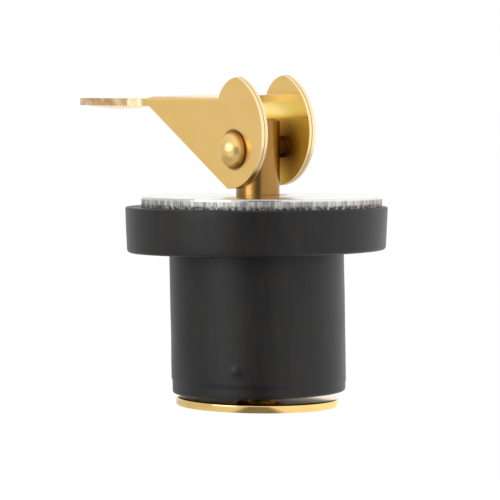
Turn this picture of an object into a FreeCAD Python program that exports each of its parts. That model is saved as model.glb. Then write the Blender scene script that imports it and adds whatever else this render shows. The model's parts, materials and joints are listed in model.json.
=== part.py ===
import FreeCAD, Part
import math
import os
import Sketcher

# Expanding drain plug for a boat, with its snap lever released.
# Millimetres, +Z up. The origin is on the stem's axis, in the plane of the
# flange's underside, which is the face that seats on the hull or drain tube.
# The lever's thumb tab points along -X and its pivot lies along Y.

doc = FreeCAD.newDocument("drain_plug")

# Driving dimensions. Each is written once, here, and read by its name.
driving = {
    # moulded rubber plug
    "flange_radius": 19.05,
    "flange_height": 6.4,
    "flange_draft": 0.25,
    "flange_top_round": 0.15,
    "flange_foot_round": 0.4,
    "barrel_radius": 12.7,
    "barrel_length": 20.5,
    "barrel_end_round": 0.35,
    "plug_bore_clearance": 0.3,
    # steel washer, which sits a little off centre on the loose stem
    "washer_radius": 17.45,
    "washer_thickness": 1.7,
    "washer_edge_round": 0.35,
    "washer_bore_clearance": 0.75,
    "washer_shift_along": 0.25,
    "washer_shift_across": 0.5,
    # brass disc under the rubber
    "plate_radius": 11.9,
    "plate_thickness": 1.2,
    "plate_edge_round": 0.2,
    "plate_gap": 0.8,
    "thread_clearance": 0.05,
    # brass stem
    "stem_radius": 3.175,
    "stem_above_pivot": 4.26,
    "stem_end_chamfer": 0.3,
    "thread_radius": 3.0,
    "thread_length": 9.0,
    "thread_recess": 0.15,
    # rivet
    "rivet_radius": 1.6,
    "rivet_clearance": 0.08,
    "head_radius": 2.68,
    "head_rise": 2.3,
    "formed_head_radius": 2.5,
    "formed_head_rise": 1.3,
    # lever of folded sheet, measured from the pivot
    "sheet": 1.1,
    "ear_clearance": 0.65,
    "lever_side_shift": 0.55,
    "cam_radius": 8.3,
    "cam_behind": 1.73,
    "cam_above": 2.57,
    "cam_float": 1.06,
    "shoulder_start": 3.3,
    "shoulder_end": 1.0,
    "shoulder_radius": 5.0,
    "web_rise": 7.53,
    "web_start": 3.9,
    "arm_length": 20.1,
    "joggle_length": 1.4,
    "plate_toe": 0.85,
    "tab_drop": 0.3,
    "bend_round": 0.8,
    "neck_length": 1.2,
    "tab_length": 21.05,
    "tab_half_width": 6.3,
    "tab_flare_length": 1.6,
    "tab_flare_round": 1.5,
    "dish_radius": 5.4,
    "dish_depth": 0.6,
}
sizes = doc.addObject("Spreadsheet::Sheet", "sizes")
for row, (name, value) in enumerate(driving.items(), 1):
    sizes.set(f"A{row}", name)
    sizes.set(f"B{row}", str(value))
    sizes.setAlias(f"B{row}", name)
doc.recompute()

# Places worked out from the driving dimensions.
washer_top = "(sizes.flange_height + sizes.washer_thickness)"
plate_top = "(-sizes.barrel_length - sizes.plate_gap)"
plate_foot = f"({plate_top} - sizes.plate_thickness)"
cam_foot = "(sizes.cam_above - sizes.cam_radius)"
pivot_level = f"({washer_top} - {cam_foot} + sizes.cam_float)"
plug_bore = "(sizes.stem_radius + sizes.plug_bore_clearance)"
washer_bore = "(sizes.stem_radius + sizes.washer_bore_clearance)"
plate_bore = "(sizes.thread_radius + sizes.thread_clearance)"
ear_inside = "(sizes.stem_radius + sizes.ear_clearance)"
ear_outside = f"({ear_inside} + sizes.sheet)"
web_underside = "(sizes.web_rise - sizes.sheet)"
tab_top = "(sizes.web_rise - sizes.tab_drop)"
tab_foot = f"({tab_top} - sizes.sheet)"
arm_end = "(sizes.arm_length + sizes.joggle_length)"
tab_start = f"({arm_end} + sizes.neck_length)"
tab_centre = "(sizes.arm_length + sizes.tab_length - sizes.tab_half_width)"
shoulder_run = "(sizes.cam_behind + sizes.shoulder_end)"
shoulder_top = f"(sizes.cam_above + sqrt(sizes.cam_radius ^ 2 - {shoulder_run} ^ 2))"
dish_ball = "((sizes.dish_radius ^ 2 + sizes.dish_depth ^ 2) / (2 * sizes.dish_depth))"
past = "(2 * sizes.cam_radius)"


def worth(expression):
    """Number that an expression of the sheet's names comes to."""
    return float(sizes.evalExpression(expression.replace("sizes.", "")))


def new_body(label):
    """Body with its own label, which is also the name of its file."""
    body = doc.addObject("PartDesign::Body", label)
    body.Label = label
    return body


def origin_feature(body, role):
    """Plane or axis of the body's own origin."""
    return next(item for item in body.Origin.OriginFeatures if item.Role == role)


def new_sketch(body, name, role, raised=None):
    """Empty sketch on one of the body's origin planes, raised by an expression."""
    sketch = body.newObject("Sketcher::SketchObject", name)
    sketch.AttachmentSupport = [(origin_feature(body, role), "")]
    sketch.MapMode = "FlatFace"
    if raised:
        sketch.setExpression("AttachmentOffset.Base.z", raised)
    return sketch


def hold(sketch, geometry, point, across, up=None):
    """Fix one point of a sketch by expressions for one or both coordinates."""
    for kind, axis, expression in (("DistanceX", -2, across), ("DistanceY", -1, up)):
        if expression is None:
            continue
        if expression == "0":
            sketch.addConstraint(Sketcher.Constraint("PointOnObject", geometry, point, axis))
        else:
            place = Sketcher.Constraint(kind, -1, 1, geometry, point, worth(expression))
            index = sketch.addConstraint(place)
            sketch.setExpression(f"Constraints[{index}]", expression)


def draw_outline(sketch, corners):
    """Closed outline of straight edges through corners given by expressions."""
    spots = [FreeCAD.Vector(worth(across), worth(up), 0) for across, up in corners]
    for index, spot in enumerate(spots):
        sketch.addGeometry(Part.LineSegment(spot, spots[(index + 1) % len(spots)]))
    for index, (across, up) in enumerate(corners):
        previous = (index - 1) % len(corners)
        sketch.addConstraint(Sketcher.Constraint("Coincident", previous, 2, index, 1))
        hold(sketch, index, 1, across, up)


def draw_circle(sketch, across, up, radius):
    """Circle whose centre and radius are given by expressions."""
    centre = FreeCAD.Vector(worth(across), worth(up), 0)
    up_axis = FreeCAD.Vector(0, 0, 1)
    index = sketch.addGeometry(Part.Circle(centre, up_axis, worth(radius)))
    hold(sketch, index, 3, across, up)
    size = sketch.addConstraint(Sketcher.Constraint("Radius", index, worth(radius)))
    sketch.setExpression(f"Constraints[{size}]", radius)


def draw_ear(sketch):
    """Outline of a cam ear: a straight back, a round shoulder and the long cam arc."""
    radius, round_radius = worth("sizes.cam_radius"), worth("sizes.shoulder_radius")
    middle = FreeCAD.Vector(-worth("sizes.cam_behind"), worth("sizes.cam_above"), 0)
    foot = FreeCAD.Vector(middle.x, middle.y - radius, 0)
    top = FreeCAD.Vector(worth("sizes.shoulder_end"), worth(shoulder_top), 0)
    start = FreeCAD.Vector(-worth("sizes.shoulder_start"), worth("sizes.web_rise"), 0)
    half = (top - start) * 0.5
    inward = FreeCAD.Vector(half.y, -half.x, 0).normalize()
    centre = start + half + inward * math.sqrt(round_radius ** 2 - half.Length ** 2)
    up_axis = FreeCAD.Vector(0, 0, 1)
    turned = [math.atan2(spot.y - centre.y, spot.x - centre.x) for spot in (top, start)]
    cam_end = math.atan2(top.y - middle.y, top.x - middle.x)
    sketch.addGeometry(Part.ArcOfCircle(Part.Circle(middle, up_axis, radius), -math.pi / 2, cam_end))
    sketch.addGeometry(Part.ArcOfCircle(Part.Circle(centre, up_axis, round_radius), *turned))
    sketch.addGeometry(Part.LineSegment(start, foot))
    for first, second in ((0, 1), (1, 2)):
        sketch.addConstraint(Sketcher.Constraint("Coincident", first, 2, second, 1))
    sketch.addConstraint(Sketcher.Constraint("Coincident", 2, 2, 0, 1))
    hold(sketch, 0, 3, "-sizes.cam_behind", "sizes.cam_above")
    hold(sketch, 0, 1, "-sizes.cam_behind", cam_foot)
    hold(sketch, 0, 2, "sizes.shoulder_end")
    hold(sketch, 1, 2, "-sizes.shoulder_start", "sizes.web_rise")
    size = sketch.addConstraint(Sketcher.Constraint("Radius", 1, round_radius))
    sketch.setExpression(f"Constraints[{size}]", "sizes.shoulder_radius")


def pad(body, sketch, length, both_ways=False):
    """Pad of a sketch, centred on its plane when it goes both ways."""
    feature = body.newObject("PartDesign::Pad", f"{sketch.Name}_pad")
    feature.Profile = sketch
    feature.Midplane = both_ways
    feature.setExpression("Length", length)
    doc.recompute()
    return feature


def pocket(body, sketch, length):
    """Pocket of a sketch, as far on one side of its plane as on the other."""
    before = body.Shape.Volume
    feature = body.newObject("PartDesign::Pocket", f"{sketch.Name}_pocket")
    feature.Profile = sketch
    feature.Midplane = True
    feature.setExpression("Length", length)
    doc.recompute()
    if body.Shape.Volume >= before:
        raise RuntimeError(f"{sketch.Name} cuts nothing")
    return feature


def revolve(body, sketch, role):
    """Full turn of a sketch about one of the body's own axes."""
    feature = body.newObject("PartDesign::Revolution", f"{sketch.Name}_turn")
    feature.Profile = sketch
    feature.ReferenceAxis = (origin_feature(body, role), [""])
    feature.Angle = 360
    doc.recompute()
    return feature


def round_edges(body, name, radius, wanted):
    """Fillet on the edges of the body for which wanted is true."""
    base = body.Tip
    edges = [f"Edge{number}" for number, edge in enumerate(base.Shape.Edges, 1) if wanted(edge)]
    feature = body.newObject("PartDesign::Fillet", name)
    feature.Base = (base, edges)
    feature.setExpression("Radius", radius)
    doc.recompute()
    return feature


def is_ring(edge, radius, height):
    """True for a circular edge of this radius at this height about the Z axis."""
    curve = edge.Curve
    if curve.TypeId != "Part::GeomCircle":
        return False
    level = abs(curve.Center.z - height) < 1e-4
    return level and abs(curve.Radius - radius) < 1e-4


def stands_at(edge, along, across):
    """True for a straight upright edge at this place."""
    ends = [vertex.Point for vertex in edge.Vertexes]
    if edge.Curve.TypeId != "Part::GeomLine" or abs(ends[0].z - ends[1].z) < 1e-4:
        return False
    return all(abs(end.x - along) < 1e-4 and abs(abs(end.y) - across) < 1e-4 for end in ends)


# Rubber plug: flange and barrel turned as one moulding, bored for the stem.
rubber = new_body("rubber_plug")
section = new_sketch(rubber, "rubber_section", "XZ_Plane")
draw_outline(section, [
    (plug_bore, "sizes.flange_height"),
    ("sizes.flange_radius", "sizes.flange_height"),
    ("sizes.flange_radius - sizes.flange_draft", "0"),
    ("sizes.barrel_radius", "0"),
    ("sizes.barrel_radius", "-sizes.barrel_length"),
    (plug_bore, "-sizes.barrel_length"),
])
revolve(rubber, section, "Z_Axis")
flange_foot = worth("sizes.flange_radius - sizes.flange_draft")
flange_top = worth("sizes.flange_radius"), worth("sizes.flange_height")
barrel_end = worth("sizes.barrel_radius"), -worth("sizes.barrel_length")
round_edges(rubber, "flange_foot_edge", "sizes.flange_foot_round",
            lambda edge: is_ring(edge, flange_foot, 0))
round_edges(rubber, "flange_top_edge", "sizes.flange_top_round",
            lambda edge: is_ring(edge, *flange_top))
round_edges(rubber, "barrel_end_edge", "sizes.barrel_end_round",
            lambda edge: is_ring(edge, *barrel_end))

# Steel washer: punched ring lying on the flange, its upper edge rolled over.
washer = new_body("top_washer")
ring = new_sketch(washer, "washer_ring", "XY_Plane")
draw_circle(ring, "0", "0", "sizes.washer_radius")
draw_circle(ring, "0", "0", washer_bore)
pad(washer, ring, "sizes.washer_thickness")
washer_edge = worth("sizes.washer_radius"), worth("sizes.washer_thickness")
round_edges(washer, "washer_top_edge", "sizes.washer_edge_round",
            lambda edge: is_ring(edge, *washer_edge))
washer.setExpression("Placement.Base.x", "sizes.washer_shift_along")
washer.setExpression("Placement.Base.y", "sizes.washer_shift_across")
washer.setExpression("Placement.Base.z", "sizes.flange_height")

# Brass disc: carried on the stem's thread, just clear of the barrel's end.
plate = new_body("bottom_plate")
disc = new_sketch(plate, "plate_disc", "XY_Plane")
draw_circle(disc, "0", "0", "sizes.plate_radius")
draw_circle(disc, "0", "0", plate_bore)
pad(plate, disc, "sizes.plate_thickness")
plate_rim = worth("sizes.plate_radius"), worth("sizes.plate_thickness")
round_edges(plate, "plate_edges", "sizes.plate_edge_round",
            lambda edge: is_ring(edge, *plate_rim) or is_ring(edge, plate_rim[0], 0))
plate.setExpression("Placement.Base.z", plate_foot)

# Stem: turned rod with a reduced lower end for the thread and a cross hole.
stem = new_body("stem")
stem_top = f"({pivot_level} + sizes.stem_above_pivot)"
stem_foot = f"({plate_foot} + sizes.thread_recess)"
rod = new_sketch(stem, "stem_section", "XZ_Plane")
draw_outline(rod, [
    ("0", stem_top),
    ("sizes.stem_radius - sizes.stem_end_chamfer", stem_top),
    ("sizes.stem_radius", f"{stem_top} - sizes.stem_end_chamfer"),
    ("sizes.stem_radius", f"{stem_foot} + sizes.thread_length"),
    ("sizes.thread_radius", f"{stem_foot} + sizes.thread_length"),
    ("sizes.thread_radius", f"{stem_foot} + sizes.stem_end_chamfer"),
    ("sizes.thread_radius - sizes.stem_end_chamfer", stem_foot),
    ("0", stem_foot),
])
revolve(stem, rod, "Z_Axis")
cross_hole = new_sketch(stem, "cross_hole", "XZ_Plane")
draw_circle(cross_hole, "0", pivot_level, "sizes.rivet_radius + sizes.rivet_clearance")
pocket(stem, cross_hole, past)

# Lever: arm and cam ears as one profile across the full width, then opened
# out between the plates, then the thumb tab on the end of the web.
lever = new_body("lever")
width = f"2 * {ear_outside}"
arm = new_sketch(lever, "arm_profile", "XZ_Plane")
draw_outline(arm, [
    (f"-{arm_end}", tab_top),
    (f"-{arm_end}", tab_foot),
    (f"sizes.plate_toe - {arm_end}", tab_foot),
    ("-sizes.cam_behind", cam_foot),
    ("0", "0"),
    ("0", "sizes.web_rise"),
    ("-sizes.arm_length", "sizes.web_rise"),
])
pad(lever, arm, width, both_ways=True)
web_top, side = worth("sizes.web_rise"), worth(ear_outside)


def is_bend(edge):
    """True for the long outer edges where the plates fold down from the web."""
    ends = [vertex.Point for vertex in edge.Vertexes]
    at_top = all(abs(end.z - web_top) < 1e-4 for end in ends)
    at_side = all(abs(abs(end.y) - side) < 1e-4 for end in ends)
    return at_top and at_side and ends[0].y * ends[1].y > 0


round_edges(lever, "bends", "sizes.bend_round", is_bend)
ears = new_sketch(lever, "cam_ears", "XZ_Plane")
draw_ear(ears)
pad(lever, ears, width, both_ways=True)
between = new_sketch(lever, "between_plates", "XZ_Plane")
draw_outline(between, [
    (f"-{arm_end}", tab_foot),
    ("-sizes.arm_length", web_underside),
    ("-sizes.web_start", web_underside),
    ("-sizes.web_start", past),
    (past, past),
    (past, f"-{past}"),
    (f"-{arm_end}", f"-{past}"),
])
pocket(lever, between, f"2 * {ear_inside}")
blank = new_sketch(lever, "tab_blank", "XY_Plane", tab_foot)
draw_outline(blank, [
    (f"-{arm_end}", ear_outside),
    (f"-{tab_start}", ear_outside),
    (f"-{tab_start} - sizes.tab_flare_length", "sizes.tab_half_width"),
    (f"-{tab_centre}", "sizes.tab_half_width"),
    (f"-{tab_centre}", "-sizes.tab_half_width"),
    (f"-{tab_start} - sizes.tab_flare_length", "-sizes.tab_half_width"),
    (f"-{tab_start}", f"-{ear_outside}"),
    (f"-{arm_end}", f"-{ear_outside}"),
])
pad(lever, blank, "sizes.sheet")
flare_from = worth(f"-{tab_start}"), worth(ear_outside)
flare_to = worth(f"-{tab_start} - sizes.tab_flare_length"), worth("sizes.tab_half_width")
round_edges(lever, "tab_flare", "sizes.tab_flare_round",
            lambda edge: stands_at(edge, *flare_from) or stands_at(edge, *flare_to))
tip = new_sketch(lever, "tab_tip", "XY_Plane", tab_foot)
draw_circle(tip, f"-{tab_centre}", "0", "sizes.tab_half_width")
pad(lever, tip, "sizes.sheet")


def dish(name, level, kind):
    """Shallow cap of a sphere below this level, turned about the tab's centre."""
    cap = new_sketch(lever, name, "XZ_Plane")
    middle, rim = worth(f"-{tab_centre}"), worth(f"-{tab_centre} + sizes.dish_radius")
    top, bottom = worth(level), worth(f"{level} - sizes.dish_depth")
    ball = worth(dish_ball)
    half_angle = math.asin(worth("sizes.dish_radius") / ball)
    down = -math.pi / 2
    circle = Part.Circle(FreeCAD.Vector(middle, bottom + ball, 0), FreeCAD.Vector(0, 0, 1), ball)
    cap.addGeometry(Part.ArcOfCircle(circle, down, down + half_angle))
    cap.addGeometry(Part.LineSegment(FreeCAD.Vector(rim, top, 0), FreeCAD.Vector(middle, top, 0)))
    cap.addGeometry(Part.LineSegment(FreeCAD.Vector(middle, top, 0), FreeCAD.Vector(middle, bottom, 0)))
    cap.addConstraint(Sketcher.Constraint("Coincident", 0, 2, 1, 1))
    cap.addConstraint(Sketcher.Constraint("Coincident", 1, 2, 2, 1))
    cap.addConstraint(Sketcher.Constraint("Coincident", 2, 2, 0, 1))
    hold(cap, 1, 1, f"-{tab_centre} + sizes.dish_radius", level)
    hold(cap, 1, 2, f"-{tab_centre}", level)
    hold(cap, 2, 2, f"-{tab_centre}", f"{level} - sizes.dish_depth")
    size = cap.addConstraint(Sketcher.Constraint("Radius", 0, ball))
    cap.setExpression(f"Constraints[{size}]", dish_ball)
    turned = lever.newObject(kind, f"{name}_turn")
    turned.Profile = cap
    middle_line = 2
    turned.ReferenceAxis = (cap, [f"Edge{middle_line + 1}"])
    turned.Angle = 360
    doc.recompute()
    return turned


dish("dish_underside", tab_foot, "PartDesign::Revolution")
dish("dish_hollow", tab_top, "PartDesign::Groove")
pivot_holes = new_sketch(lever, "pivot_holes", "XZ_Plane")
draw_circle(pivot_holes, "0", "0", "sizes.rivet_radius")
pocket(lever, pivot_holes, f"{width} + sizes.sheet")
lever.setExpression("Placement.Base.y", "sizes.lever_side_shift")
lever.setExpression("Placement.Base.z", pivot_level)

# Rivet: shank as long as the lever is wide, a round head at one end and a
# lower, hammered head at the other. The shank's length runs along Y.
shank = doc.addObject("Part::Cylinder", "rivet_shank")
shank.setExpression("Radius", "sizes.rivet_radius")
shank.setExpression("Height", width)
shank.setExpression("Placement.Base.z", f"-{ear_outside}")


def rivet_head(name, radius, rise, facing):
    """Cap of a sphere whose flat side lies on an ear's outer face."""
    head = doc.addObject("Part::Sphere", name)
    ball = f"(({radius} ^ 2 + {rise} ^ 2) / (2 * {rise}))"
    head.setExpression("Radius", ball)
    head.setExpression("Angle1", f"asin(({ball} - {rise}) / {ball})")
    head.Angle2 = 90
    head.setExpression("Placement.Base.z", f"{facing} * ({ear_outside} + {rise} - {ball})")
    if facing < 0:
        head.Placement.Rotation = FreeCAD.Rotation(FreeCAD.Vector(1, 0, 0), 180)
    return head


round_head = rivet_head("round_head", "sizes.head_radius", "sizes.head_rise", 1)
formed_head = rivet_head("formed_head", "sizes.formed_head_radius", "sizes.formed_head_rise", -1)
rivet = doc.addObject("Part::MultiFuse", "pivot_rivet")
rivet.Label = "pivot_rivet"
rivet.Shapes = [shank, round_head, formed_head]
rivet.Placement.Rotation = FreeCAD.Rotation(FreeCAD.Vector(1, 0, 0), 90)
rivet.setExpression("Placement.Base.y", "sizes.lever_side_shift")
rivet.setExpression("Placement.Base.z", pivot_level)
doc.recompute()

# Each piece is checked, then written to a file of its own.
for item in doc.Objects:
    if "Invalid" in item.State or "Error" in item.State:
        raise RuntimeError(f"{item.Label} failed: {item.State}")
pieces = [rubber, washer, plate, stem, rivet, lever]
for piece in pieces:
    if piece.Shape.isNull() or not piece.Shape.isValid() or len(piece.Shape.Solids) != 1:
        raise RuntimeError(f"{piece.Label} isn't one sound solid")
os.makedirs("parts", exist_ok=True)
for piece in pieces:
    piece.Shape.exportStep(f"parts/{piece.Label}.step")
    print(piece.Label, round(piece.Shape.Volume, 2), piece.Shape.BoundBox)
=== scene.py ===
import json
import math
import bmesh
import bpy
from mathutils import Euler, Matrix, Vector, noise


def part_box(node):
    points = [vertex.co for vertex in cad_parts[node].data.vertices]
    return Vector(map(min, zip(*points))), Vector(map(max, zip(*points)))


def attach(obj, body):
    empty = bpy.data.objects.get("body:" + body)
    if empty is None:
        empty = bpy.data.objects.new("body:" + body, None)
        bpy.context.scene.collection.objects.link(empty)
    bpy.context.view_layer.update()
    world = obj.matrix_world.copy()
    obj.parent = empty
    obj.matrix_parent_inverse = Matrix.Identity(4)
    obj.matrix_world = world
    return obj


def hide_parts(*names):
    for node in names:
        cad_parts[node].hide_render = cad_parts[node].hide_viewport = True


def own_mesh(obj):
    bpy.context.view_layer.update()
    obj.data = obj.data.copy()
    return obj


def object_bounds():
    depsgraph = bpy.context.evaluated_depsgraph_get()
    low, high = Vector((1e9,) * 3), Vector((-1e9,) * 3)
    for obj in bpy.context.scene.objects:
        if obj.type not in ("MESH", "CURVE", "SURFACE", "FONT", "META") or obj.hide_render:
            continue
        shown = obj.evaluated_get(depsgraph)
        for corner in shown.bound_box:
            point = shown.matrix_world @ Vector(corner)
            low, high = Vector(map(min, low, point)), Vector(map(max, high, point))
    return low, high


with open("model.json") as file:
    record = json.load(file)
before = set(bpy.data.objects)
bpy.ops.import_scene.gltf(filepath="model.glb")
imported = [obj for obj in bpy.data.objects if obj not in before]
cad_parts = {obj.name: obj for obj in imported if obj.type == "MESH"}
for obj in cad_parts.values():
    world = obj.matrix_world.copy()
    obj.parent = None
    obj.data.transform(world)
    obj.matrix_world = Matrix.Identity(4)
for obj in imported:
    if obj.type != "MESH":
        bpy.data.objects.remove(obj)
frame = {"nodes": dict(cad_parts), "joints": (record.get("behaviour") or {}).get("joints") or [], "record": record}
cad_low, cad_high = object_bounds()

# Rubber plug: flange and barrel are one compression moulding in black nitrile
# rubber, bored for the stem. The barrel is a piece of its own here because the
# disc below squeezes it short when the lever is thrown.
MM = 0.001
AROUND = 240
camera_azimuth = math.radians(52.0)
picture_right = Vector((math.cos(camera_azimuth), math.sin(camera_azimuth), 0.0))
rubber_low, rubber_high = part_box("rubber_plug")
barrel_mount = next(row for row in frame["record"]["mounts"] if row["name"] == "barrel")
flange_radius = rubber_high.x
flange_top = rubber_high.z
flange_draft = 0.25 * MM
barrel_radius = barrel_mount["dims"]["r_mm"] * MM
barrel_foot = rubber_low.z
plug_bore = 3.45 * MM
lateral_play = -0.2 * MM
underside_slope = 0.0117
barrel_slope = 0.0157
barrel_lean = 0.019
trim_level = 1.8 * MM
trim_step = 0.11 * MM
trim_slope = 0.03
trim_ease = 0.25 * MM
nub_angle = math.radians(-52.8)
nub_level = -16.5 * MM
nub_reach = 0.55 * MM
nub_rise = 0.22 * MM
rubber_wave = 0.05 * MM
waves_round = 2.2
wave_height = 6 * MM
outer_share = 0.9
flange_top_round = 0.22 * MM
flange_foot_round = 0.5 * MM
joint_inset = 0.4 * MM
joint_level = 0.3 * MM
barrel_head = 0.25 * MM
barrel_foot_round = 0.4 * MM


def linear(code):
    """Linear colour of an sRGB hex value."""
    parts = [int(code[place:place + 2], 16) / 255 for place in (1, 3, 5)]
    bent = [part / 12.92 if part <= 0.04045 else ((part + 0.055) / 1.055) ** 2.4 for part in parts]
    return (*bent, 1.0)


def add(tree, kind, settings=None, links=None):
    """Node of one kind with its settings and with the sockets that feed it."""
    node = tree.nodes.new(kind)
    for name, value in (settings or {}).items():
        if isinstance(name, int) or name in node.inputs:
            node.inputs[name].default_value = value
        else:
            setattr(node, name, value)
    for name, source in (links or {}).items():
        tree.links.new(source, node.inputs[name])
    return node


def new_material(name, metallic=0.0):
    """Material with its node tree and its shader."""
    material = bpy.data.materials.new(name)
    material.use_nodes = True
    shader = material.node_tree.nodes["Principled BSDF"]
    shader.inputs["Metallic"].default_value = metallic
    return material, material.node_tree, shader


def per(size):
    """Texture scale for a feature of this size in metres."""
    return 1.0 / size


def rounded(corners, steps=6):
    """Profile through (radius, height, round) corners, each corner an arc, closed."""
    points = []
    for index, (across, up, size) in enumerate(corners):
        here = Vector((across, up))
        back = Vector(corners[index - 1][:2]) - here
        ahead = Vector(corners[(index + 1) % len(corners)][:2]) - here
        if size == 0:
            points.append(here)
            continue
        back.normalize()
        ahead.normalize()
        half = back.angle(ahead) / 2
        reach = size / math.tan(half)
        middle = here + (back + ahead).normalized() * size / math.sin(half)
        first = here + back * reach - middle
        last = here + ahead * reach - middle
        for step in range(steps + 1):
            share = step / steps
            points.append(middle + first.lerp(last, share).normalized() * size)
    return points


def divided(points, longest):
    """Closed profile with its long straights cut into stretches."""
    spots = []
    for index, here in enumerate(points):
        ahead = points[(index + 1) % len(points)]
        cuts = max(1, math.ceil((ahead - here).length / longest))
        spots += [here.lerp(ahead, cut / cuts) for cut in range(cuts)]
    return spots


def lathe(name, profile, place, around=AROUND):
    """Closed ring turned from a profile. place turns radius, angle and height into a point."""
    rows = len(profile)
    spots = []
    for turn in range(around):
        angle = 2 * math.pi * turn / around
        spots += [place(spot.x, angle, spot.y) for spot in profile]
    faces = []
    for turn in range(around):
        start, after = turn * rows, (turn + 1) % around * rows
        for row in range(rows):
            above = (row + 1) % rows
            faces.append((start + row, after + row, after + above, start + above))
    mesh = bpy.data.meshes.new(name)
    mesh.from_pydata(spots, [], faces)
    work = bmesh.new()
    work.from_mesh(mesh)
    bmesh.ops.recalc_face_normals(work, faces=work.faces)
    work.to_mesh(mesh)
    work.free()
    return shown(name, mesh)


def shown(name, mesh, crease=35.0):
    """Object that shows a mesh, smooth but for its sharp edges."""
    mesh.shade_smooth()
    mesh.set_sharp_from_angle(angle=math.radians(crease))
    piece = bpy.data.objects.new(name, mesh)
    bpy.context.scene.collection.objects.link(piece)
    return piece


def settle(piece):
    """Make what the piece's modifiers show its plain mesh, and remove them."""
    bpy.context.view_layer.update()
    live = piece.evaluated_get(bpy.context.evaluated_depsgraph_get())
    ready = bpy.data.meshes.new_from_object(live)
    piece.modifiers.clear()
    piece.data = ready


def rubber_point(radius, angle, height):
    """Point of the moulding, which leans a little on the stem and is a little wavy."""
    side = math.cos(angle - camera_azimuth) * radius
    seat = min(1.0, max(0.0, 1 - height / flange_top))
    slope = underside_slope * seat
    drift = lateral_play
    if height < 0:
        slope = barrel_slope
        drift += -height * barrel_lean
    round_way = Vector((math.cos(angle), math.sin(angle), 0))
    wave = noise.noise(Vector((*round_way.xy * waves_round, height / wave_height)))
    if radius > barrel_radius * outer_share:
        radius += wave * rubber_wave
    spot = round_way * radius + Vector((0, 0, height + side * slope))
    return spot + picture_right * drift


flange_profile = divided(rounded([
    (plug_bore, flange_top, 0),
    (flange_radius, flange_top, flange_top_round),
    (flange_radius - flange_draft, 0, flange_foot_round),
    (barrel_radius - joint_inset, 0, 0),
    (barrel_radius - joint_inset, joint_level, 0),
    (plug_bore, joint_level, 0),
]), 1.2 * MM)
rubber_flange = lathe("rubber_flange", flange_profile, rubber_point)


def barrel_point(radius, angle, height):
    """Point of the barrel, with a small mould nub and a step where flash was trimmed."""
    side = math.cos(angle - camera_azimuth) * radius
    trim = barrel_foot + trim_level - side * trim_slope
    if radius > barrel_radius * outer_share:
        turned = (angle - nub_angle + math.pi) % (2 * math.pi) - math.pi
        away = math.hypot(turned * radius, height - nub_level) / nub_reach
        radius += nub_rise * math.exp(-away * away)
        if height < trim:
            radius -= trim_step * min(1.0, (trim - height) / trim_ease)
    return rubber_point(radius, angle, height)


barrel_profile = divided(rounded([
    (plug_bore, barrel_head, 0),
    (barrel_radius, barrel_head, 0),
    (barrel_radius, barrel_foot, barrel_foot_round),
    (plug_bore, barrel_foot, 0),
]), 0.3 * MM)
rubber_barrel = lathe("rubber_barrel", barrel_profile, barrel_point)

# Nitrile rubber, pressed in a steel mould: near black, dull, with a dusty
# bloom, fine upright draw marks and a grain of about a fifth of a millimetre.
rubber, tree, shader = new_material("moulded_nitrile_rubber")
shader.inputs["IOR"].default_value = 1.52
shader.inputs["Specular IOR Level"].default_value = 0.28
where = add(tree, "ShaderNodeTexCoord").outputs["Object"]
bloom = add(tree, "ShaderNodeTexNoise", {"Scale": per(5 * MM), "Detail": 4.0}, {"Vector": where})
upright = add(tree, "ShaderNodeMapping", {"Scale": (1.0, 1.0, 0.12)}, {"Vector": where})
draw = add(tree, "ShaderNodeTexNoise", {"Scale": per(0.9 * MM), "Detail": 2.0},
           {"Vector": upright.outputs["Vector"]})
grain = add(tree, "ShaderNodeTexNoise", {"Scale": per(0.2 * MM), "Detail": 2.0}, {"Vector": where})
tone = add(tree, "ShaderNodeMath", {"operation": "ADD"},
           {0: bloom.outputs["Fac"], 1: draw.outputs["Fac"]})
ramp = add(tree, "ShaderNodeValToRGB", None, {"Fac": add(
    tree, "ShaderNodeMath", {"operation": "MULTIPLY", 1: 0.5}, {0: tone.outputs[0]}).outputs[0]})
ramp.color_ramp.elements[0].position = 0.34
ramp.color_ramp.elements[0].color = linear("#100f0f")
ramp.color_ramp.elements[1].position = 0.68
ramp.color_ramp.elements[1].color = linear("#201d1c")
tree.links.new(ramp.outputs["Color"], shader.inputs["Base Color"])
dull = add(tree, "ShaderNodeMapRange", {"To Min": 0.36, "To Max": 0.48},
           {"Value": bloom.outputs["Fac"]})
tree.links.new(dull.outputs["Result"], shader.inputs["Roughness"])
marks = add(tree, "ShaderNodeBump", {"Strength": 0.08, "Distance": 0.03 * MM},
            {"Height": draw.outputs["Fac"]})
skin = add(tree, "ShaderNodeBump", {"Strength": 0.6, "Distance": 0.03 * MM},
           {"Height": grain.outputs["Fac"], "Normal": marks.outputs["Normal"]})
tree.links.new(skin.outputs["Normal"], shader.inputs["Normal"])
for piece in (rubber_flange, rubber_barrel):
    piece.data.materials.append(rubber)
    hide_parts("rubber_plug")
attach(rubber_flange, "plug")
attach(rubber_barrel, "plug")
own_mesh(rubber_barrel)

# Washer: blanked from zinc-plated steel sheet and laid on the flange, a little
# off centre because its hole is wider than the stem. Its face falls towards the
# rim, which keeps the upright scoring and the tearing that the die leaves.
washer_low, washer_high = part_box("top_washer")
washer_middle = (washer_low + washer_high) / 2
washer_radius = (washer_high.x - washer_low.x) / 2
washer_bore = 3.925 * MM
rim_share = 0.97
tear_level = 0.27
tear_spread = 0.28
tear_depth = 0.06 * MM
rim_roughness = 0.012 * MM
rim_waves = 55
tear_waves = 21
fall_start = 8 * MM
fall = 0.18 * MM
bore_round = 0.2 * MM
top_round = 0.14 * MM
foot_round = 0.06 * MM
row_height = 0.2 * MM
touch = 0.001 * MM


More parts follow.
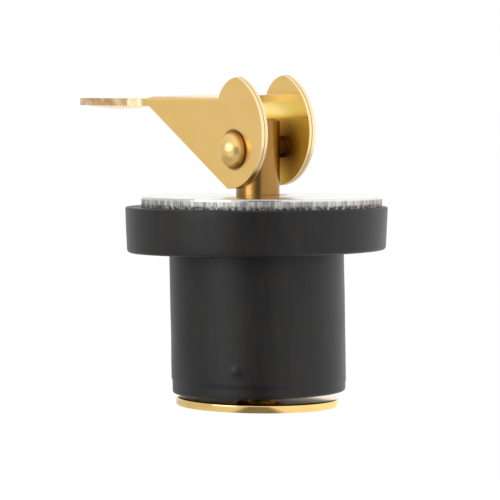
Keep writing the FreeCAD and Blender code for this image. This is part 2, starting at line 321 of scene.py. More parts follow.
def washer_point(radius, angle, height):
    """Point of the washer: its face falls towards the rim, whose lower part is torn."""
    thickness = washer_high.z - washer_low.z
    round_way = Vector((math.cos(angle), math.sin(angle), 0))
    if radius > washer_radius * rim_share:
        ragged = noise.noise(round_way * rim_waves)
        uneven = tear_spread * noise.noise(round_way * tear_waves)
        torn = washer_low.z + thickness * (tear_level + uneven)
        if height < torn:
            radius -= tear_depth * (1 + ragged)
        else:
            radius += rim_roughness * ragged
    outward = max(0.0, radius - fall_start) / (washer_radius - fall_start)
    height -= fall * outward ** 2 * (height - washer_low.z) / thickness
    return Vector((washer_middle.x, washer_middle.y, height)) + round_way * radius


washer_profile = divided(rounded([
    (washer_bore, washer_high.z, bore_round),
    (washer_radius, washer_high.z, top_round),
    (washer_radius, washer_low.z, foot_round),
    (washer_bore, washer_low.z, foot_round),
]), row_height)
inner_foot = washer_bore + foot_round + touch
outer_foot = washer_radius - foot_round - touch
washer_profile = [spot for spot in washer_profile
                  if spot.y > washer_low.z + touch or not inner_foot < spot.x < outer_foot]
steel_washer = lathe("steel_washer", washer_profile, washer_point, 3 * AROUND)

# Scoring that the blanking die drew up the rim: thin ridges of uneven width and
# height, spread all the way round by a node tree with a fixed seed.
SCORES = 240
score_box = Vector((0.035, 0.36, 0.95)) * MM
score_least = (0.3, 0.25, 0.35)
score_most = (1.0, 1.5, 1.0)
score_level = washer_low.z + 0.66 * MM
score_seed = 4


def node_group(name, inputs):
    """Empty geometry tree with named number inputs and one mesh output."""
    group = bpy.data.node_groups.new(name, "GeometryNodeTree")
    for label, kind, value in inputs:
        socket = group.interface.new_socket(label, in_out="INPUT", socket_type=kind)
        socket.default_value = value
    group.interface.new_socket("Mesh", in_out="OUTPUT", socket_type="NodeSocketGeometry")
    return group


def grown(name, group, values, material):
    """Plain mesh object that a geometry tree makes from these named values."""
    piece = bpy.data.objects.new(name, bpy.data.meshes.new(name))
    bpy.context.scene.collection.objects.link(piece)
    growth = piece.modifiers.new("growth", "NODES")
    growth.node_group = group
    for socket in group.interface.items_tree:
        if socket.name in values:
            growth[socket.identifier] = values[socket.name]
    settle(piece)
    if material.name not in piece.data.materials:
        piece.data.materials.append(material)
    return piece


zinc, tree, shader = new_material("zinc_plated_steel", 1.0)
group = node_group("rim_scoring", [
    ("Count", "NodeSocketInt", SCORES),
    ("Radius", "NodeSocketFloat", 0.01),
    ("Level", "NodeSocketFloat", 0.01),
    ("Ridge", "NodeSocketVector", (0.001, 0.001, 0.001)),
    ("Seed", "NodeSocketInt", 1),
])
given = add(group, "NodeGroupInput")
ring = add(group, "GeometryNodeMeshCircle", None,
           {"Vertices": given.outputs["Count"], "Radius": given.outputs["Radius"]})
spread = add(group, "GeometryNodeMeshToPoints", None, {"Mesh": ring.outputs["Mesh"]})
here = add(group, "GeometryNodeInputPosition").outputs[0]
spot = add(group, "ShaderNodeSeparateXYZ", None, {"Vector": here})
bearing = add(group, "ShaderNodeMath", {"operation": "ARCTAN2"},
              {0: spot.outputs["Y"], 1: spot.outputs["X"]})
turned = add(group, "ShaderNodeCombineXYZ", None, {"Z": bearing.outputs[0]})
ridge = add(group, "GeometryNodeMeshCube", None, {"Size": given.outputs["Ridge"]})
spare = add(group, "FunctionNodeRandomValue", {
    "data_type": "FLOAT_VECTOR", 0: score_least, 1: score_most},
    {"Seed": given.outputs["Seed"]})
ridges = add(group, "GeometryNodeInstanceOnPoints", None, {
    "Points": spread.outputs["Points"], "Instance": ridge.outputs["Mesh"],
    "Rotation": turned.outputs[0], "Scale": spare.outputs[0]})
raised = add(group, "ShaderNodeCombineXYZ", None, {"Z": given.outputs["Level"]})
moved = add(group, "GeometryNodeTransform", None,
            {"Geometry": ridges.outputs[0], "Translation": raised.outputs[0]})
whole = add(group, "GeometryNodeRealizeInstances", None, {"Geometry": moved.outputs[0]})
coated = add(group, "GeometryNodeSetMaterial", {"Material": zinc}, {"Geometry": whole.outputs[0]})
add(group, "NodeGroupOutput", None, {"Mesh": coated.outputs[0]})
rim_scoring = grown("rim_scoring", group, {
    "Count": SCORES, "Radius": washer_radius, "Level": score_level, "Ridge": tuple(score_box),
    "Seed": score_seed}, zinc)
rim_scoring.data.transform(Matrix.Translation((washer_middle.x, washer_middle.y, 0)))
rim_scoring.data.shade_flat()

# Bright zinc over rolled steel: a pale, soft mirror on the faces, with faint
# long rolling lines and ring waves round the bore. The rim's lower part is
# dull, scored upright in greys, and dark where torn.
scored_top = washer_low.z + 1.1 * MM
torn_top = washer_low.z + 0.3 * MM
wave_edge = 17 * MM
wave_full = 11 * MM
wave_size = 0.5 * MM
wave_depth = 0.055 * MM
coords = add(tree, "ShaderNodeTexCoord")
where = coords.outputs["Object"]
spangle = add(tree, "ShaderNodeTexNoise", {"Scale": per(1.6 * MM), "Detail": 3.0},
              {"Vector": where})
rolled = add(tree, "ShaderNodeMapping", {"Rotation": (0, 0, 0.5), "Scale": (0.05, 1.0, 1.0)},
             {"Vector": where})
lines = add(tree, "ShaderNodeTexNoise", {"Scale": per(0.25 * MM), "Detail": 3.0},
            {"Vector": rolled.outputs["Vector"]})
facing = add(tree, "ShaderNodeSeparateXYZ", None, {"Vector": coords.outputs["Normal"]})
flatness = add(tree, "ShaderNodeMath", {"operation": "ABSOLUTE"}, {0: facing.outputs["Z"]})
on_rim = add(tree, "ShaderNodeMapRange", {"From Min": 0.6, "From Max": 0.3}, {
    "Value": flatness.outputs[0]})
height = add(tree, "ShaderNodeSeparateXYZ", None, {"Vector": where})
scored_part = add(tree, "ShaderNodeMapRange", {
    "From Min": scored_top + 0.2 * MM, "From Max": scored_top},
    {"Value": height.outputs["Z"]})
low_part = add(tree, "ShaderNodeMapRange", {
    "From Min": torn_top + 0.4 * MM, "From Max": torn_top},
    {"Value": height.outputs["Z"]})
upright = add(tree, "ShaderNodeMapping", {"Scale": (1.0, 1.0, 0.1)}, {"Vector": where})
streak = add(tree, "ShaderNodeTexNoise", {"Scale": per(0.5 * MM), "Detail": 4.0, "Roughness": 0.7},
             {"Vector": upright.outputs["Vector"]})
streaks = add(tree, "ShaderNodeMapRange", {"From Min": 0.4, "From Max": 0.62},
              {"Value": streak.outputs["Fac"]})
mottle = add(tree, "ShaderNodeTexNoise", {"Scale": per(0.6 * MM), "Detail": 3.0, "Roughness": 0.6},
             {"Vector": where})
patches = add(tree, "ShaderNodeMapRange", {"From Min": 0.42, "From Max": 0.56},
              {"Value": mottle.outputs["Fac"]})
torn = add(tree, "ShaderNodeMath", {"operation": "MULTIPLY"},
           {0: on_rim.outputs[0], 1: low_part.outputs[0]})
dark = add(tree, "ShaderNodeMath", {"operation": "MULTIPLY"},
           {0: torn.outputs[0], 1: patches.outputs[0]})
plain = add(tree, "ShaderNodeMix", {
    "data_type": "RGBA", 6: linear("#cdcdc9"), 7: linear("#dddcd8")}, {0: spangle.outputs["Fac"]})
edge = add(tree, "ShaderNodeMath", {"operation": "MULTIPLY"},
           {0: on_rim.outputs[0], 1: scored_part.outputs[0]})
scored = add(tree, "ShaderNodeMath", {"operation": "MULTIPLY"},
             {0: edge.outputs[0], 1: streaks.outputs[0]})
shade = add(tree, "ShaderNodeMix", {"data_type": "RGBA", 7: linear("#8f8b88")},
            {0: scored.outputs[0], 6: plain.outputs[2]})
colour = add(tree, "ShaderNodeMix", {"data_type": "RGBA", 7: linear("#5d5858")},
             {0: dark.outputs[0], 6: shade.outputs[2]})
tree.links.new(colour.outputs[2], shader.inputs["Base Color"])
gloss = add(tree, "ShaderNodeMapRange", {"To Min": 0.08, "To Max": 0.18},
            {"Value": spangle.outputs["Fac"]})
rough = add(tree, "ShaderNodeMath", {"operation": "MULTIPLY_ADD", 1: 0.45},
            {0: edge.outputs[0], 2: gloss.outputs[0]})
tree.links.new(rough.outputs[0], shader.inputs["Roughness"])
away = add(tree, "ShaderNodeVectorMath", {"operation": "LENGTH"}, {
    0: add(tree, "ShaderNodeVectorMath", {"operation": "MULTIPLY", 1: (1.0, 1.0, 0.0)},
           {0: where}).outputs[0]})
coined = add(tree, "ShaderNodeMapRange", {"From Min": wave_edge, "From Max": wave_full},
             {"Value": away.outputs["Value"]})
rings = add(tree, "ShaderNodeTexWave", {
    "wave_type": "RINGS", "rings_direction": "Z", "Scale": per(wave_size) / 20, "Distortion": 1.2,
    "Detail": 1.0}, {"Vector": where})
dished = add(tree, "ShaderNodeMath", {"operation": "MULTIPLY"},
             {0: coined.outputs[0], 1: rings.outputs["Fac"]})
waves = add(tree, "ShaderNodeBump", {"Strength": 1.0, "Distance": wave_depth},
            {"Height": dished.outputs[0]})
scoring = add(tree, "ShaderNodeBump", {"Strength": 0.05, "Distance": 0.01 * MM},
              {"Height": lines.outputs["Fac"], "Normal": waves.outputs["Normal"]})
tree.links.new(scoring.outputs["Normal"], shader.inputs["Normal"])
steel_washer.data.materials.append(zinc)
for piece in (steel_washer, rim_scoring):
    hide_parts("top_washer")
    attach(piece, "washer")

# Stem: turned brass rod, cross drilled for the rivet, its lower end threaded
# for the disc. The rod is the frame's own and the thread's ridge is added.
brass_rod, tree, shader = new_material("turned_brass_rod", 1.0)
where = add(tree, "ShaderNodeTexCoord").outputs["Object"]
turned = add(tree, "ShaderNodeMapping", {"Scale": (0.1, 0.1, 1.0)}, {"Vector": where})
feed = add(tree, "ShaderNodeTexNoise", {"Scale": per(0.12 * MM), "Detail": 2.0},
           {"Vector": turned.outputs["Vector"]})
stain = add(tree, "ShaderNodeTexNoise", {"Scale": per(2.5 * MM), "Detail": 3.0}, {"Vector": where})
# Partly painted shade: the rod's brass is darker than the disc's. In part this is its duller turned finish, and in
# part painted shade that darkens the rod and its reflections between the plates.
colour = add(tree, "ShaderNodeMix", {
    "data_type": "RGBA", 6: linear("#8a6635"), 7: linear("#9d7842")}, {0: stain.outputs["Fac"]})
tree.links.new(colour.outputs[2], shader.inputs["Base Color"])
gloss = add(tree, "ShaderNodeMapRange", {"To Min": 0.14, "To Max": 0.3},
            {"Value": feed.outputs["Fac"]})
tree.links.new(gloss.outputs["Result"], shader.inputs["Roughness"])
rings = add(tree, "ShaderNodeBump", {"Strength": 0.3, "Distance": 0.012 * MM},
            {"Height": feed.outputs["Fac"]})
tree.links.new(rings.outputs["Normal"], shader.inputs["Normal"])
frame["nodes"]["stem"].data.materials.clear()
frame["nodes"]["stem"].data.materials.append(brass_rod)

# Thread: a quarter-inch rod cut at twenty turns to the inch. The solid stands
# for its core, so the ridge is wound on that core above the disc.
disc_low, disc_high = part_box("bottom_plate")
thread_pitch = 1.27 * MM
thread_turns = 6
thread_core = 3.0 * MM
thread_rise = 0.16 * MM
thread_start = 0.2 * MM
group = node_group("thread_ridge", [
    ("Turns", "NodeSocketFloat", 4.0),
    ("Pitch", "NodeSocketFloat", 0.001),
    ("Radius", "NodeSocketFloat", 0.001),
    ("Rise", "NodeSocketFloat", 0.001),
    ("Foot", "NodeSocketFloat", 0.0),
])
given = add(group, "NodeGroupInput")
length = add(group, "ShaderNodeMath", {"operation": "MULTIPLY"},
             {0: given.outputs["Turns"], 1: given.outputs["Pitch"]})
wound = add(group, "GeometryNodeCurveSpiral", {"Resolution": 48}, {
    "Rotations": given.outputs["Turns"], "Start Radius": given.outputs["Radius"],
    "End Radius": given.outputs["Radius"], "Height": length.outputs[0]})
section = add(group, "GeometryNodeCurvePrimitiveCircle", {"Resolution": 4},
              {"Radius": given.outputs["Rise"]})
ridge = add(group, "GeometryNodeCurveToMesh", {"Fill Caps": True},
            {"Curve": wound.outputs[0], "Profile Curve": section.outputs[0]})
raised = add(group, "ShaderNodeCombineXYZ", None, {"Z": given.outputs["Foot"]})
moved = add(group, "GeometryNodeTransform", None,
            {"Geometry": ridge.outputs[0], "Translation": raised.outputs[0]})
whole = add(group, "GeometryNodeRealizeInstances", None, {"Geometry": moved.outputs[0]})
cut = add(group, "GeometryNodeSetMaterial", {"Material": brass_rod}, {"Geometry": whole.outputs[0]})
add(group, "NodeGroupOutput", None, {"Mesh": cut.outputs[0]})
stem_thread = grown("stem_thread", group, {
    "Turns": thread_turns, "Pitch": thread_pitch, "Radius": thread_core, "Rise": thread_rise,
    "Foot": disc_high.z + thread_start}, brass_rod)
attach(stem_thread, "stem")

# Disc: brass, turned flat on both faces and tapped for the stem. It hangs on
# the thread a little out of square.
disc_radius = disc_high.x
disc_bore = 3.05 * MM
disc_bore_round = 0.15 * MM
disc_round = 0.3 * MM
disc_slope = -0.0122


def disc_point(radius, angle, height):
    """Point of the disc, tipped down towards the picture's right."""
    side = math.cos(angle - camera_azimuth) * radius
    round_way = Vector((math.cos(angle), math.sin(angle), 0))
    return round_way * radius + Vector((0, 0, height + side * disc_slope))


disc_profile = divided(rounded([
    (disc_bore, disc_high.z, disc_bore_round),
    (disc_radius, disc_high.z, disc_round),
    (disc_radius, disc_low.z, disc_round),
    (disc_bore, disc_low.z, disc_bore_round),
]), 1.0 * MM)
brass_disc = lathe("brass_disc", disc_profile, disc_point)

# Faced brass: yellow, bright, with fine rings from the turning tool.
brass_faced, tree, shader = new_material("faced_brass", 1.0)
where = add(tree, "ShaderNodeTexCoord").outputs["Object"]
ringed = add(tree, "ShaderNodeTexWave", {
    "wave_type": "RINGS", "rings_direction": "Z", "Scale": per(0.25 * MM) / 20, "Distortion": 0.4,
    "Detail": 2.0}, {"Vector": where})
stain = add(tree, "ShaderNodeTexNoise", {"Scale": per(3 * MM), "Detail": 3.0}, {"Vector": where})
colour = add(tree, "ShaderNodeMix", {
    "data_type": "RGBA", 6: linear("#e0b566"), 7: linear("#efcf8c")}, {0: stain.outputs["Fac"]})
tree.links.new(colour.outputs[2], shader.inputs["Base Color"])
shader.inputs["Roughness"].default_value = 0.1
rings = add(tree, "ShaderNodeBump", {"Strength": 0.08, "Distance": 0.006 * MM},
            {"Height": ringed.outputs["Fac"]})
tree.links.new(rings.outputs["Normal"], shader.inputs["Normal"])
brass_disc.data.materials.append(brass_faced)
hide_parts("bottom_plate")
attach(brass_disc, "bottom_plate")

# Lever: one piece of brass sheet, blanked, dished at the thumb tab and folded
# into two plates whose round ears are the cam. It sits a little rolled on its
# loose rivet, its tab bent level again. Its edges are the frame's, eased.
pivot = Vector(next(row for row in frame["joints"] if row["name"] == "lever_flip")["pos_m"])
lever_roll = 0.04
lever_pitch = 0.011
edge_ease = 0.1 * MM
ease_angle = math.radians(40)
flat_angle = math.radians(0.3)
merge_distance = 0.001 * MM
ear_inside = 3.825 * MM
ear_outside = 4.925 * MM
head_radius = 2.68 * MM
tab_root = -20.1 * MM
tab_run = 1.4 * MM
tab_settle = 0.2 * MM
tab_height = 7 * MM


def eased_copy(node, name, ease):
    """Merged copy of a frame node with its sharp edges eased, tipped about the pivot."""
    work = bmesh.new()
    work.from_mesh(frame["nodes"][node].data)
    bmesh.ops.remove_doubles(work, verts=work.verts, dist=merge_distance)
    bmesh.ops.dissolve_limit(work, angle_limit=flat_angle, verts=work.verts, edges=work.edges)
    turn = Matrix.Translation(pivot) @ Euler((lever_roll, lever_pitch, 0)).to_matrix().to_4x4()
    bmesh.ops.transform(work, matrix=turn @ Matrix.Translation(-pivot), verts=work.verts)
    rough_mesh = bpy.data.meshes.new(name)
    spots = [tuple(spot.co) for spot in work.verts]
    work.verts.index_update()
    faces = [[spot.index for spot in face.verts] for face in work.faces]
    rough_mesh.from_pydata(spots, [], faces)
    work.free()
    piece = shown(name, rough_mesh)
    bevel = piece.modifiers.new("ease", "BEVEL")
    bevel.width = ease
    bevel.segments = 3
    bevel.limit_method = "ANGLE"
    bevel.angle_limit = ease_angle
    bevel.harden_normals = True
    settle(piece)
    return piece


folded_lever = eased_copy("lever", "folded_lever", edge_ease)
tab_middle = pivot.y - math.sin(lever_roll) * tab_height
for spot in folded_lever.data.vertices:
    share = min(1.0, max(0.0, (tab_root - spot.co.x) / tab_run))
    spot.co.z -= share * (tab_settle + (spot.co.y - tab_middle) * lever_roll)

# Cartridge brass sheet, rolled, blanked and polished: warm yellow, nearly
# smooth, with faint rolling lines and a dark line round the blanked rim where
# the clean shear ends and the break begins. Between the plates it is painted
# paler, a painted light falling in from above. Round the rivet it is dull, with a
# painted reflection of the stem's shaded side, dark by the stem and pale further
# out. The outside is scuffed round the rivet's head, which has a painted ring of
# contact shade round its base.
shear_depth = 0.58 * MM
ear_back = -3.8 * MM
web_end = -3.95 * MM
web_top = 7.6 * MM
# Reach of the painted reflection of the stem's shaded side on the inner faces.
reflection_top = 4.1 * MM
reflection_dark_radius = 2.0 * MM
reflection_pale_radius = 4.6 * MM
contact_shade_width = 0.15 * MM
scuff_full = head_radius + 0.6 * MM
scuff_edge = head_radius + 2.6 * MM
tab_start = -22.0 * MM
brass_sheet, tree, shader = new_material("polished_brass_sheet", 1.0)
coords = add(tree, "ShaderNodeTexCoord")
square = add(tree, "ShaderNodeMapping", {"vector_type": "TEXTURE", "Location": tuple(pivot),
             "Rotation": (lever_roll, lever_pitch, 0)}, {"Vector": coords.outputs["Object"]})
square = square.outputs["Vector"]
parts = add(tree, "ShaderNodeSeparateXYZ", None, {"Vector": square})
across = add(tree, "ShaderNodeMath", {"operation": "ABSOLUTE"}, {0: parts.outputs["Y"]})
off_line = add(tree, "ShaderNodeMath", {"operation": "SUBTRACT", 1: ear_outside - shear_depth},
               {0: across.outputs[0]})
near_line = add(tree, "ShaderNodeMath", {"operation": "ABSOLUTE"}, {0: off_line.outputs[0]})
line = add(tree, "ShaderNodeMapRange", {"From Min": 0.09 * MM, "From Max": 0.04 * MM},
           {"Value": near_line.outputs[0]})
facing = add(tree, "ShaderNodeSeparateXYZ", None, {"Vector": coords.outputs["Normal"]})
sideways = add(tree, "ShaderNodeMath", {"operation": "ABSOLUTE"}, {0: facing.outputs["Y"]})
level = add(tree, "ShaderNodeMath", {"operation": "ABSOLUTE"}, {0: facing.outputs["Z"]})
on_rim = add(tree, "ShaderNodeMapRange", {"From Min": 0.5, "From Max": 0.3},
             {"Value": sideways.outputs[0]})
on_ear = add(tree, "ShaderNodeMapRange", {"From Min": ear_back, "From Max": ear_back + 0.2 * MM},
             {"Value": parts.outputs["X"]})
not_upward = add(tree, "ShaderNodeMapRange", {"From Min": 0.4, "From Max": 0.2},
                 {"Value": facing.outputs["Z"]})
off_tab = add(tree, "ShaderNodeMapRange", {
    "From Min": tab_root - 0.4 * MM, "From Max": tab_root + 0.1 * MM},
              {"Value": parts.outputs["X"]})
cut_edge = add(tree, "ShaderNodeMath", {"operation": "MAXIMUM"},
               {0: on_ear.outputs[0], 1: not_upward.outputs[0]})
cut_edge = add(tree, "ShaderNodeMath", {"operation": "MULTIPLY"},
               {0: cut_edge.outputs[0], 1: off_tab.outputs[0]})
cut_rim = add(tree, "ShaderNodeMath", {"operation": "MULTIPLY"},
              {0: on_rim.outputs[0], 1: cut_edge.outputs[0]})
sheared = add(tree, "ShaderNodeMath", {"operation": "MULTIPLY"},
              {0: cut_rim.outputs[0], 1: line.outputs[0]})
within = add(tree, "ShaderNodeMapRange", {
    "From Min": ear_inside + 0.225 * MM, "From Max": ear_inside + 0.125 * MM},
    {"Value": across.outputs[0]})
plate_face = add(tree, "ShaderNodeMapRange", {"From Min": 0.5, "From Max": 0.7},
                 {"Value": sideways.outputs[0]})
by_stem = add(tree, "ShaderNodeMapRange", {"From Min": web_end - 0.05 * MM, "From Max": web_end},
              {"Value": parts.outputs["X"]})
hidden = add(tree, "ShaderNodeMath", {"operation": "MAXIMUM"},
             {0: plate_face.outputs[0], 1: by_stem.outputs[0]})
between = add(tree, "ShaderNodeMath", {"operation": "MULTIPLY"},
              {0: within.outputs[0], 1: hidden.outputs[0]})
below_web = add(tree, "ShaderNodeMapRange", {"From Min": web_top + 0.15 * MM, "From Max": web_top},
                {"Value": parts.outputs["Z"]})
inner = add(tree, "ShaderNodeMath", {"operation": "MULTIPLY"},
            {0: between.outputs[0], 1: below_web.outputs[0]})
below_reflection_top = add(tree, "ShaderNodeMapRange", {
    "From Min": reflection_top + 0.3 * MM, "From Max": reflection_top}, {"Value": parts.outputs["Z"]})
painted_reflection_area = add(tree, "ShaderNodeMath", {"operation": "MULTIPLY"},
             {0: inner.outputs[0], 1: below_reflection_top.outputs[0]})
on_tab = add(tree, "ShaderNodeMapRange", {"From Min": tab_start, "From Max": tab_start - 0.5 * MM},
             {"Value": parts.outputs["X"]})
upstanding = add(tree, "ShaderNodeMapRange", {"From Min": 0.6, "From Max": 0.4},
                 {"Value": level.outputs[0]})
tab_rim = add(tree, "ShaderNodeMath", {"operation": "MULTIPLY"},
              {0: on_tab.outputs[0], 1: upstanding.outputs[0]})
rolling = add(tree, "ShaderNodeMapping", {"Scale": (0.04, 1.0, 1.0)}, {"Vector": square})
lines = add(tree, "ShaderNodeTexNoise", {"Scale": per(0.22 * MM), "Detail": 3.0},
            {"Vector": rolling.outputs["Vector"]})
stain = add(tree, "ShaderNodeTexNoise", {"Scale": per(4 * MM), "Detail": 4.0}, {"Vector": square})
tarnish = add(tree, "ShaderNodeTexNoise", {"Scale": per(3 * MM), "Detail": 3.0, "Roughness": 0.6},
              {"Vector": square})
plain = add(tree, "ShaderNodeMix", {
    "data_type": "RGBA", 6: linear("#efc46e"), 7: linear("#fbd48c")}, {0: stain.outputs["Fac"]})
# Painted light: the inner faces between the plates are painted paler, standing in for light falling in from above.
painted_light_inside = add(tree, "ShaderNodeMix", {"data_type": "RGBA", 7: linear("#fff2c2")},
           {0: inner.outputs[0], 6: plain.outputs[2]})
flat_spot = add(tree, "ShaderNodeCombineXYZ", None,
                {"X": parts.outputs["X"], "Z": parts.outputs["Z"]})
from_rivet = add(tree, "ShaderNodeVectorMath", {"operation": "LENGTH"}, {0: flat_spot.outputs[0]})
reflection_fade = add(tree, "ShaderNodeMapRange", {"From Min": reflection_dark_radius, "From Max": reflection_pale_radius},
               {"Value": from_rivet.outputs["Value"]})
# Painted reflection of the stem's shaded side round the rivet: dark brown by the stem, pale yellow further out.
painted_stem_reflection = add(tree, "ShaderNodeMix", {
    "data_type": "RGBA", 6: linear("#b87c28"), 7: linear("#ffdc60")}, {0: reflection_fade.outputs[0]})
inside_painted = add(tree, "ShaderNodeMix", {"data_type": "RGBA"},
             {0: painted_reflection_area.outputs[0], 6: painted_light_inside.outputs[2], 7: painted_stem_reflection.outputs[2]})
rose = add(tree, "ShaderNodeValToRGB", None, {"Fac": tarnish.outputs["Fac"]})
rose.color_ramp.elements[0].position = 0.4
rose.color_ramp.elements[0].color = linear("#cba274")
rose.color_ramp.elements[1].position = 0.6
rose.color_ramp.elements[1].color = linear("#f0d8ae")
bare = add(tree, "ShaderNodeMix", {"data_type": "RGBA", 7: linear("#efd4a4")},
           {0: cut_rim.outputs[0], 6: inside_painted.outputs[2]})
rimmed = add(tree, "ShaderNodeMix", {"data_type": "RGBA"},
             {0: tab_rim.outputs[0], 6: bare.outputs[2], 7: rose.outputs["Color"]})
off_head = add(tree, "ShaderNodeMath", {"operation": "SUBTRACT", 1: head_radius},
               {0: from_rivet.outputs["Value"]})
off_head = add(tree, "ShaderNodeMath", {"operation": "ABSOLUTE"}, {0: off_head.outputs[0]})
# Painted contact shade: a dark ring on the outer faces round the base of the rivet's head.
ring = add(tree, "ShaderNodeMapRange", {"From Min": 3 * contact_shade_width, "From Max": contact_shade_width},
           {"Value": off_head.outputs[0]})
outside = add(tree, "ShaderNodeMath", {"operation": "SUBTRACT", 0: 1.0}, {1: within.outputs[0]})
ring = add(tree, "ShaderNodeMath", {"operation": "MULTIPLY"},
           {0: ring.outputs[0], 1: outside.outputs[0]})
# The dark colour covers both the real shear line and the painted contact shade round the head.
shear_line_and_contact_shade = add(tree, "ShaderNodeMath", {"operation": "MAXIMUM"},
            {0: sheared.outputs[0], 1: ring.outputs[0]})
colour = add(tree, "ShaderNodeMix", {"data_type": "RGBA", 7: linear("#8a6a38")},
             {0: shear_line_and_contact_shade.outputs[0], 6: rimmed.outputs[2]})
tree.links.new(colour.outputs[2], shader.inputs["Base Color"])
gloss = add(tree, "ShaderNodeMapRange", {"To Min": 0.1, "To Max": 0.2},
            {"Value": stain.outputs["Fac"]})
worn = add(tree, "ShaderNodeMath", {"operation": "MULTIPLY_ADD", 1: 0.28},
           {0: tab_rim.outputs[0], 2: gloss.outputs[0]})
worn = add(tree, "ShaderNodeMath", {"operation": "MULTIPLY_ADD", 1: 0.18},
           {0: cut_rim.outputs[0], 2: worn.outputs[0]})
scuffed = add(tree, "ShaderNodeMapRange", {
    "From Min": scuff_edge, "From Max": scuff_full, "To Max": 0.32},
    {"Value": from_rivet.outputs["Value"]})
reflection_area_blur = add(tree, "ShaderNodeMath", {"operation": "MULTIPLY", 1: 0.5}, {0: painted_reflection_area.outputs[0]})
scuff_and_blur = add(tree, "ShaderNodeMath", {"operation": "MAXIMUM"},
             {0: scuffed.outputs[0], 1: reflection_area_blur.outputs[0]})
rough = add(tree, "ShaderNodeMath", {"operation": "MAXIMUM"},
            {0: worn.outputs[0], 1: scuff_and_blur.outputs[0]})
tree.links.new(rough.outputs[0], shader.inputs["Roughness"])
score = add(tree, "ShaderNodeBump", {"Strength": 0.1, "Distance": 0.008 * MM},
            {"Height": lines.outputs["Fac"]})
tree.links.new(score.outputs["Normal"], shader.inputs["Normal"])
folded_lever.data.materials.clear()
folded_lever.data.materials.append(brass_sheet)
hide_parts("lever")
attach(folded_lever, "lever")

# Rivet: soft brass, with a round head on the near plate and a lower hammered
# head on the far one. It passes through both plates and the stem.
rivet_ease = 0.12 * MM
head_start = ear_outside + 0.5 * MM
head_clear = ear_outside + 1.1 * MM
headed_rivet = eased_copy("pivot_rivet", "headed_rivet", rivet_ease)

# Drawn brass wire, upset cold: a smooth bright head with the shallow dents of
# the hammer in it. Next to the plates it is painted darker, a painted contact
# shade at the head's base, and between the plates it is dull and painted dark
# brown, a painted shade on the shank.
brass_wire, tree, shader = new_material("hammered_brass_wire", 1.0)
where = add(tree, "ShaderNodeTexCoord").outputs["Object"]
square = add(tree, "ShaderNodeMapping", {"vector_type": "TEXTURE", "Location": tuple(pivot),
             "Rotation": (lever_roll, lever_pitch, 0)}, {"Vector": where})
parts = add(tree, "ShaderNodeSeparateXYZ", None, {"Vector": square.outputs["Vector"]})
across = add(tree, "ShaderNodeMath", {"operation": "ABSOLUTE"}, {0: parts.outputs["Y"]})
within = add(tree, "ShaderNodeMapRange", {
    "From Min": ear_inside, "From Max": ear_inside - 0.1 * MM}, {"Value": across.outputs[0]})
by_ear = add(tree, "ShaderNodeMapRange", {"From Min": head_clear, "From Max": head_start},
             {"Value": across.outputs[0]})
dents = add(tree, "ShaderNodeTexNoise", {"Scale": per(1.5 * MM), "Detail": 1.5}, {"Vector": where})
bright = add(tree, "ShaderNodeMix", {
    "data_type": "RGBA", 6: linear("#e6bc66"), 7: linear("#f6d898")}, {0: dents.outputs["Fac"]})
# Painted contact shade: the head is painted darker next to the plates.
painted_base_shade = add(tree, "ShaderNodeMix", {"data_type": "RGBA", 7: linear("#a87a38")},
             {0: by_ear.outputs[0], 6: bright.outputs[2]})
# Painted shade: the shank between the plates is painted dark brown.
colour = add(tree, "ShaderNodeMix", {"data_type": "RGBA", 7: linear("#5a3d1a")},
             {0: within.outputs[0], 6: painted_base_shade.outputs[2]})
tree.links.new(colour.outputs[2], shader.inputs["Base Color"])
rough = add(tree, "ShaderNodeMapRange", {"To Min": 0.3, "To Max": 0.5},
            {"Value": within.outputs[0]})
tree.links.new(rough.outputs[0], shader.inputs["Roughness"])
struck = add(tree, "ShaderNodeBump", {"Strength": 0.6, "Distance": 0.16 * MM},
             {"Height": dents.outputs["Fac"]})
tree.links.new(struck.outputs["Normal"], shader.inputs["Normal"])
headed_rivet.data.materials.clear()
headed_rivet.data.materials.append(brass_wire)
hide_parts("pivot_rivet")
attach(headed_rivet, "lever")

# Camera: a long lens nearly level with the lever, at the photograph's place,
# aimed a little to the left of the stem and at the flange's underside.
camera_elevation = math.radians(2.84)
camera_distance = 0.391
aim_right = -1.14 * MM
aim_level = 0.08 * MM
aim = picture_right * aim_right + Vector((0, 0, aim_level))
flat_look = math.cos(camera_elevation)
look = Vector((-math.sin(camera_azimuth) * flat_look, math.cos(camera_azimuth) * flat_look,
               -math.sin(camera_elevation)))
lens = bpy.data.cameras.new("photo_camera")
lens.sensor_width = 36.0
lens.lens = 193.68
camera = bpy.data.objects.new("photo_camera", lens)
camera.location = aim - look * camera_distance
camera.rotation_mode = "QUATERNION"
camera.rotation_quaternion = look.to_track_quat("-Z", "Y")
bpy.context.scene.collection.objects.link(camera)
bpy.context.scene.camera = camera
bpy.context.scene.view_settings.view_transform = "Standard"

# Studio: a pale floor under the disc, a white room that shows to the camera
# and in the metal, with the dark gap that the camera looks in by, and soft
# lamps at a plain level.
gap_edge = 0.93
gap_middle = 0.985
gap_glow = 0.25
left_glow = 0.8
right_glow = 1.4
floor_size = 4.0
floor_level = cad_low.z - 0.05 * MM
floor_share = 0.97
floor_glow = 1.02
room_light = 0.7


def white_rays(tree):
    """One for the rays that see the white: camera, glossy and transmission rays."""
    rays = add(tree, "ShaderNodeLightPath")
    seen = add(tree, "ShaderNodeMath", {"operation": "MAXIMUM"},
               {0: rays.outputs["Is Camera Ray"], 1: rays.outputs["Is Glossy Ray"]})
    return add(tree, "ShaderNodeMath", {"operation": "MAXIMUM"},
               {0: seen.outputs[0], 1: rays.outputs["Is Transmission Ray"]}).outputs[0]


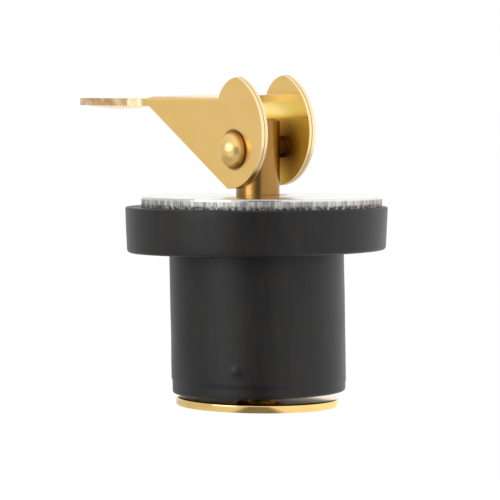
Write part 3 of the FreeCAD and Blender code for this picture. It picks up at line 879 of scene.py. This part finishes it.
def room_glow(tree, way, plain):
    """Strength of the white. It is plain, but metal sees a brighter right side and a dark gap."""
    rays = add(tree, "ShaderNodeLightPath")
    toward = add(tree, "ShaderNodeVectorMath", {"operation": "DOT_PRODUCT", 1: tuple(-look)},
                 {0: way})
    gap = add(tree, "ShaderNodeMapRange", {
        "interpolation_type": "SMOOTHSTEP", "From Min": gap_edge, "From Max": gap_middle,
        "To Min": 1.0, "To Max": gap_glow}, {"Value": toward.outputs["Value"]})
    aside = add(tree, "ShaderNodeVectorMath", {"operation": "DOT_PRODUCT", 1: tuple(picture_right)},
                {0: way})
    slant = add(tree, "ShaderNodeMapRange", {
        "From Min": -1.0, "From Max": 1.0, "To Min": left_glow, "To Max": right_glow},
        {"Value": aside.outputs["Value"]})
    glow = add(tree, "ShaderNodeMath", {"operation": "MULTIPLY"}, {
        0: gap.outputs["Result"], 1: slant.outputs["Result"]})
    change = add(tree, "ShaderNodeMath", {"operation": "SUBTRACT", 1: plain}, {0: glow.outputs[0]})
    return add(tree, "ShaderNodeMath", {"operation": "MULTIPLY_ADD", 2: plain}, {
        0: change.outputs[0], 1: rays.outputs["Is Glossy Ray"]}).outputs[0]


floor_mesh = bpy.data.meshes.new("studio_floor")
half = floor_size / 2
corners = [(-half, -half), (half, -half), (half, half), (-half, half)]
floor_mesh.from_pydata([(*corner, floor_level) for corner in corners], [], [(0, 1, 2, 3)])
studio_floor = bpy.data.objects.new("studio_floor", floor_mesh)
bpy.context.scene.collection.objects.link(studio_floor)
paper, tree, shader = new_material("white_backing_paper")
shader.inputs["Base Color"].default_value = linear("#e6e6e4")
shader.inputs["Roughness"].default_value = 0.9
share = add(tree, "ShaderNodeMath", {"operation": "MULTIPLY", 1: floor_share},
            {0: white_rays(tree)})
level = add(tree, "ShaderNodeVectorMath", {"operation": "MULTIPLY", 1: (1.0, 1.0, 0.0)},
            {0: add(tree, "ShaderNodeTexCoord").outputs["Object"]})
way = add(tree, "ShaderNodeVectorMath", {"operation": "NORMALIZE"}, {0: level.outputs[0]})
white = add(tree, "ShaderNodeEmission", {"Color": linear("#ffffff")},
            {"Strength": room_glow(tree, way.outputs[0], floor_glow)})
blend = add(tree, "ShaderNodeMixShader", None,
            {0: share.outputs[0], 1: shader.outputs[0], 2: white.outputs[0]})
tree.links.new(blend.outputs[0], tree.nodes["Material Output"].inputs["Surface"])
floor_mesh.materials.append(paper)

world = bpy.data.worlds.new("white_room")
bpy.context.scene.world = world
world.use_nodes = True
tree = world.node_tree
room = tree.nodes["Background"]
room.inputs["Color"].default_value = linear("#ffffff")
room.inputs["Strength"].default_value = room_light
way = add(tree, "ShaderNodeTexCoord").outputs["Generated"]
white = add(tree, "ShaderNodeBackground", {"Color": linear("#ffffff")},
            {"Strength": room_glow(tree, way, 1.0)})
blend = add(tree, "ShaderNodeMixShader", None,
            {0: white_rays(tree), 1: room.outputs[0], 2: white.outputs[0]})
tree.links.new(blend.outputs[0], tree.nodes["World Output"].inputs["Surface"])


def lamp(name, place, size, power, mirrored):
    """Square soft lamp that faces the object's middle, mirrored in the metal or not."""
    light = bpy.data.lights.new(name, "AREA")
    light.size = size
    light.energy = power
    holder = bpy.data.objects.new(name, light)
    holder.location = place
    holder.rotation_mode = "QUATERNION"
    holder.rotation_quaternion = (-Vector(place)).to_track_quat("-Z", "Y")
    holder.visible_glossy = mirrored
    bpy.context.scene.collection.objects.link(holder)


lamp("left_softbox", (0.035, -0.5, 0.1), 0.32, 1.0, True)
lamp("right_softbox", (0.5, 0.36, 0.3), 0.6, 1.0, False)
